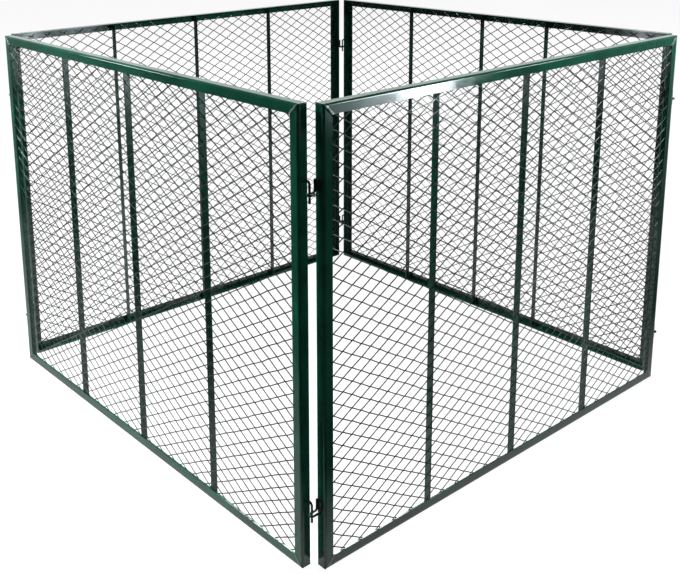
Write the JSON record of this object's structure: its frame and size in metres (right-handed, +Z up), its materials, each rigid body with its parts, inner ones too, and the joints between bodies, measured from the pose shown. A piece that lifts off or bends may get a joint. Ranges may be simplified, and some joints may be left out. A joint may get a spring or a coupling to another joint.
{
  "type": "metal mesh compost bin",
  "caption": "Square open compost bin of welded steel mesh panels in angle frames, joined at the corners by wire hooks and eyes.",
  "frame": {"origin": "centre of the square plan, on the ground under the bottom rails", "axes": "+Z up; the front panel faces -Y, the right panel +X, the back panel +Y, the left panel -X; the picture looks from the corner between front and left"},
  "size_m": [1.054, 1.054, 0.78],
  "materials": {
    "frame_paint": "glossy dark green paint on rolled steel angle",
    "bar_paint": "glossy dark green paint on flat steel bar",
    "sheet_paint": "thin dark green paint on expanded steel sheet",
    "wire_paint": "dark green paint on round steel wire"
  },
  "bodies": {
    "front_panel": {"front_top_rail": "frame_paint", "front_bottom_rail": "frame_paint", "front_left_stile": "frame_paint", "front_right_stile": "frame_paint", "front_bar_1": "bar_paint", "front_bar_2": "bar_paint", "front_bar_3": "bar_paint", "front_mesh_sheet": "sheet_paint", "front_upper_hook": "wire_paint", "front_lower_hook": "wire_paint", "front_upper_eye": "wire_paint", "front_lower_eye": "wire_paint"},
    "right_panel": {"right_top_rail": "frame_paint", "right_bottom_rail": "frame_paint", "right_left_stile": "frame_paint", "right_right_stile": "frame_paint", "right_bar_1": "bar_paint", "right_bar_2": "bar_paint", "right_bar_3": "bar_paint", "right_mesh_sheet": "sheet_paint", "right_upper_hook": "wire_paint", "right_lower_hook": "wire_paint", "right_upper_eye": "wire_paint", "right_lower_eye": "wire_paint"},
    "back_panel": {"back_top_rail": "frame_paint", "back_bottom_rail": "frame_paint", "back_left_stile": "frame_paint", "back_right_stile": "frame_paint", "back_bar_1": "bar_paint", "back_bar_2": "bar_paint", "back_bar_3": "bar_paint", "back_mesh_sheet": "sheet_paint", "back_upper_hook": "wire_paint", "back_lower_hook": "wire_paint", "back_upper_eye": "wire_paint", "back_lower_eye": "wire_paint"},
    "left_panel": {"left_top_rail": "frame_paint", "left_bottom_rail": "frame_paint", "left_left_stile": "frame_paint", "left_right_stile": "frame_paint", "left_bar_1": "bar_paint", "left_bar_2": "bar_paint", "left_bar_3": "bar_paint", "left_mesh_sheet": "sheet_paint", "left_upper_hook": "wire_paint", "left_lower_hook": "wire_paint", "left_upper_eye": "wire_paint", "left_lower_eye": "wire_paint"}
  },
  "joints": [
    {"name": "front_left_corner", "type": "hinge", "parent": "front_panel", "child": "left_panel", "pos_m": [-0.517, -0.514, 0], "axis": [0, 0, 1], "range_deg": [-35, 35]},
    {"name": "front_right_corner", "type": "hinge", "parent": "front_panel", "child": "right_panel", "pos_m": [0.514, -0.517, 0], "axis": [0, 0, 1], "range_deg": [-35, 35]},
    {"name": "back_right_corner", "type": "hinge", "parent": "right_panel", "child": "back_panel", "pos_m": [0.517, 0.514, 0], "axis": [0, 0, 1], "range_deg": [-35, 35]}
  ],
  "couplings": [
    {"joint": "front_right_corner", "follows": "front_left_corner", "ratio": 1},
    {"joint": "back_right_corner", "follows": "front_left_corner", "ratio": -1}
  ]
}
